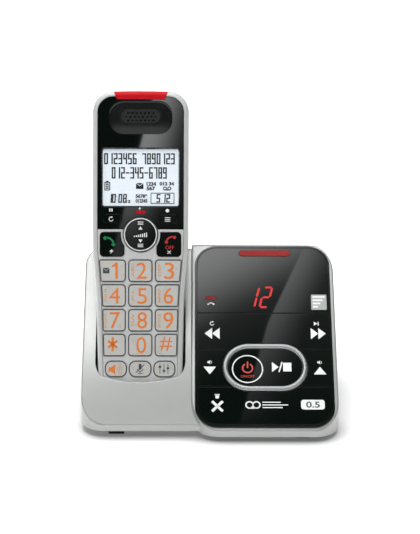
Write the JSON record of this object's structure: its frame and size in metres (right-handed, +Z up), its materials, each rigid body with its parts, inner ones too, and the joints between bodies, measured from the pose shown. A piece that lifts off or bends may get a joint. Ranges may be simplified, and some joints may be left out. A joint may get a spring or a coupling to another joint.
{
  "type": "answering machine",
  "caption": "Cordless telephone answering machine: a sloping base with a key panel and a charging well, and a keypad handset that stands in the well and lifts out.",
  "frame": {"origin": "middle of the bounding box, on the surface that the feet stand on", "axes": "+Z up, +Y from the front skirt to the back, +X to the right as seen from the front"},
  "size_m": [0.141, 0.1048, 0.1715],
  "materials": {
    "silver_shell": "satin silver paint",
    "grey_cover": "matt dark grey",
    "dark_plastic": "matt black",
    "black_gloss": "high gloss black",
    "smoked_window": "smoked clear plastic",
    "red_lens": "translucent red",
    "silver_ring": "satin metallised silver",
    "counter_case": "black case with red segments",
    "circuit_board": "green laminate",
    "silicone_rubber": "translucent silicone",
    "foot_rubber": "matt black rubber",
    "loudspeaker": "dark basket",
    "jack_plastic": "black",
    "screw_steel": "zinc plated",
    "contact_metal": "nickel plated",
    "keypad_silver": "satin silver paint",
    "grey_key": "translucent light grey",
    "clear_window": "clear",
    "display_module": "lit liquid crystal display",
    "battery_sleeve": "shrink sleeve over two cells"
  },
  "bodies": {
    "base": {"base_upper_housing": "silver_shell", "base_lower_housing": "grey_cover", "cradle_well": "dark_plastic", "control_panel_bezel": "black_gloss", "message_window": "smoked_window", "message_counter": "counter_case", "in_use_light": "red_lens", "base_ringer_light": "red_lens", "play_key_ring": "silver_ring", "base_circuit_board": "circuit_board", "base_key_membrane": "silicone_rubber", "base_loudspeaker": "loudspeaker", "line_jack": "jack_plastic", "power_jack": "jack_plastic", "base_feet": "foot_rubber", "base_screws": "screw_steel"},
    "repeat_skip_key": {"repeat_skip_key": "black_gloss"},
    "volume_down_key": {"volume_down_key": "black_gloss"},
    "volume_up_key": {"volume_up_key": "black_gloss"},
    "delete_slow_key": {"delete_slow_key": "black_gloss"},
    "play_stop_key": {"play_stop_key": "black_gloss"},
    "answer_on_off_key": {"answer_on_off_key": "black_gloss"},
    "charging_contact_left": {"charging_contact_left": "contact_metal"},
    "charging_contact_right": {"charging_contact_right": "contact_metal"},
    "handset": {"handset_front_housing": "silver_shell", "handset_rear_housing": "silver_shell", "handset_keypad_bezel": "keypad_silver", "handset_display_bezel": "black_gloss", "handset_ringer_light": "red_lens", "handset_display_window": "clear_window", "handset_display_module": "display_module", "charge_light": "red_lens", "handset_circuit_board": "circuit_board", "handset_key_membrane": "silicone_rubber", "earpiece_speaker": "loudspeaker", "handset_loudspeaker": "loudspeaker", "battery_pack": "battery_sleeve", "battery_door": "silver_shell", "handset_charging_contacts": "contact_metal", "handset_screws": "screw_steel"},
    "key_1": {"key_1": "grey_key"},
    "key_2": {"key_2": "grey_key"},
    "key_3": {"key_3": "grey_key"},
    "key_4": {"key_4": "grey_key"},
    "key_5": {"key_5": "grey_key"},
    "key_6": {"key_6": "grey_key"},
    "key_7": {"key_7": "grey_key"},
    "key_8": {"key_8": "grey_key"},
    "key_9": {"key_9": "grey_key"},
    "key_star": {"key_star": "grey_key"},
    "key_0": {"key_0": "grey_key"},
    "key_pound": {"key_pound": "grey_key"},
    "speaker_key": {"speaker_key": "grey_key"},
    "mute_key": {"mute_key": "grey_key"},
    "audio_assist_key": {"audio_assist_key": "grey_key"},
    "talk_key": {"talk_key": "black_gloss"},
    "off_key": {"off_key": "black_gloss"},
    "redial_key": {"redial_key": "black_gloss"},
    "menu_key": {"menu_key": "black_gloss"},
    "navigation_key": {"navigation_key": "black_gloss"}
  },
  "joints": [
    {"name": "repeat_skip_key_rock", "type": "hinge", "parent": "base", "child": "repeat_skip_key", "pos_m": [0.03055, -0.00269, 0.04401], "axis": [0, 0.788, 0.6157], "range_deg": [-1.2, 1.2], "stiffness_Nm_per_rad": 2},
    {"name": "volume_down_key_press", "type": "slide", "parent": "base", "child": "volume_down_key", "axis": [0, 0.6157, -0.788], "range_m": [0, 0.0008], "stiffness_N_per_m": 800, "springref_m": -0.0004},
    {"name": "volume_up_key_press", "type": "slide", "parent": "base", "child": "volume_up_key", "axis": [0, 0.6157, -0.788], "range_m": [0, 0.0008], "stiffness_N_per_m": 800, "springref_m": -0.0004},
    {"name": "delete_slow_key_rock", "type": "hinge", "parent": "base", "child": "delete_slow_key", "pos_m": [0.03055, -0.04124, 0.01389], "axis": [0, 0.788, 0.6157], "range_deg": [-1.2, 1.2], "stiffness_Nm_per_rad": 2},
    {"name": "play_stop_key_press", "type": "slide", "parent": "base", "child": "play_stop_key", "axis": [0, 0.6157, -0.788], "range_m": [0, 0.0008], "stiffness_N_per_m": 800, "springref_m": -0.0004},
    {"name": "answer_on_off_key_press", "type": "slide", "parent": "base", "child": "answer_on_off_key", "axis": [0, 0.6157, -0.788], "range_m": [0, 0.0008], "stiffness_N_per_m": 800, "springref_m": -0.0004},
    {"name": "charging_contact_left_spring", "type": "slide", "parent": "base", "child": "charging_contact_left", "axis": [0, -0.3746, -0.9272], "range_m": [0, 0.001], "stiffness_N_per_m": 600, "springref_m": -0.0005},
    {"name": "charging_contact_right_spring", "type": "slide", "parent": "base", "child": "charging_contact_right", "axis": [0, -0.3746, -0.9272], "range_m": [0, 0.001], "stiffness_N_per_m": 600, "springref_m": -0.0005},
    {"name": "handset_lift", "type": "slide", "parent": "base", "child": "handset", "axis": [0, 0.3746, 0.9272], "range_m": [0, 0.075]},
    {"name": "key_1_press", "type": "slide", "parent": "handset", "child": "key_1", "axis": [0, 0.9272, -0.3746], "range_m": [0, 0.0008], "stiffness_N_per_m": 800, "springref_m": -0.0004},
    {"name": "key_2_press", "type": "slide", "parent": "handset", "child": "key_2", "axis": [0, 0.9272, -0.3746], "range_m": [0, 0.0008], "stiffness_N_per_m": 800, "springref_m": -0.0004},
    {"name": "key_3_press", "type": "slide", "parent": "handset", "child": "key_3", "axis": [0, 0.9272, -0.3746], "range_m": [0, 0.0008], "stiffness_N_per_m": 800, "springref_m": -0.0004},
    {"name": "key_4_press", "type": "slide", "parent": "handset", "child": "key_4", "axis": [0, 0.9272, -0.3746], "range_m": [0, 0.0008], "stiffness_N_per_m": 800, "springref_m": -0.0004},
    {"name": "key_5_press", "type": "slide", "parent": "handset", "child": "key_5", "axis": [0, 0.9272, -0.3746], "range_m": [0, 0.0008], "stiffness_N_per_m": 800, "springref_m": -0.0004},
    {"name": "key_6_press", "type": "slide", "parent": "handset", "child": "key_6", "axis": [0, 0.9272, -0.3746], "range_m": [0, 0.0008], "stiffness_N_per_m": 800, "springref_m": -0.0004},
    {"name": "key_7_press", "type": "slide", "parent": "handset", "child": "key_7", "axis": [0, 0.9272, -0.3746], "range_m": [0, 0.0008], "stiffness_N_per_m": 800, "springref_m": -0.0004},
    {"name": "key_8_press", "type": "slide", "parent": "handset", "child": "key_8", "axis": [0, 0.9272, -0.3746], "range_m": [0, 0.0008], "stiffness_N_per_m": 800, "springref_m": -0.0004},
    {"name": "key_9_press", "type": "slide", "parent": "handset", "child": "key_9", "axis": [0, 0.9272, -0.3746], "range_m": [0, 0.0008], "stiffness_N_per_m": 800, "springref_m": -0.0004},
    {"name": "key_star_press", "type": "slide", "parent": "handset", "child": "key_star", "axis": [0, 0.9272, -0.3746], "range_m": [0, 0.0008], "stiffness_N_per_m": 800, "springref_m": -0.0004},
    {"name": "key_0_press", "type": "slide", "parent": "handset", "child": "key_0", "axis": [0, 0.9272, -0.3746], "range_m": [0, 0.0008], "stiffness_N_per_m": 800, "springref_m": -0.0004},
    {"name": "key_pound_press", "type": "slide", "parent": "handset", "child": "key_pound", "axis": [0, 0.9272, -0.3746], "range_m": [0, 0.0008], "stiffness_N_per_m": 800, "springref_m": -0.0004},
    {"name": "speaker_key_press", "type": "slide", "parent": "handset", "child": "speaker_key", "axis": [0, 0.9272, -0.3746], "range_m": [0, 0.0008], "stiffness_N_per_m": 800, "springref_m": -0.0004},
    {"name": "mute_key_press", "type": "slide", "parent": "handset", "child": "mute_key", "axis": [0, 0.9272, -0.3746], "range_m": [0, 0.0008], "stiffness_N_per_m": 800, "springref_m": -0.0004},
    {"name": "audio_assist_key_press", "type": "slide", "parent": "handset", "child": "audio_assist_key", "axis": [0, 0.9272, -0.3746], "range_m": [0, 0.0008], "stiffness_N_per_m": 800, "springref_m": -0.0004},
    {"name": "talk_key_press", "type": "slide", "parent": "handset", "child": "talk_key", "axis": [0, 0.9272, -0.3746], "range_m": [0, 0.0008], "stiffness_N_per_m": 800, "springref_m": -0.0004},
    {"name": "off_key_press", "type": "slide", "parent": "handset", "child": "off_key", "axis": [0, 0.9272, -0.3746], "range_m": [0, 0.0008], "stiffness_N_per_m": 800, "springref_m": -0.0004},
    {"name": "redial_key_press", "type": "slide", "parent": "handset", "child": "redial_key", "axis": [0, 0.9272, -0.3746], "range_m": [0, 0.0008], "stiffness_N_per_m": 800, "springref_m": -0.0004},
    {"name": "menu_key_press", "type": "slide", "parent": "handset", "child": "menu_key", "axis": [0, 0.9272, -0.3746], "range_m": [0, 0.0008], "stiffness_N_per_m": 800, "springref_m": -0.0004},
    {"name": "navigation_key_rock", "type": "hinge", "parent": "handset", "child": "navigation_key", "pos_m": [-0.0383, 0.00695, 0.0976], "axis": [1, 0, 0], "range_deg": [-4, 4], "stiffness_Nm_per_rad": 0.15}
  ]
}
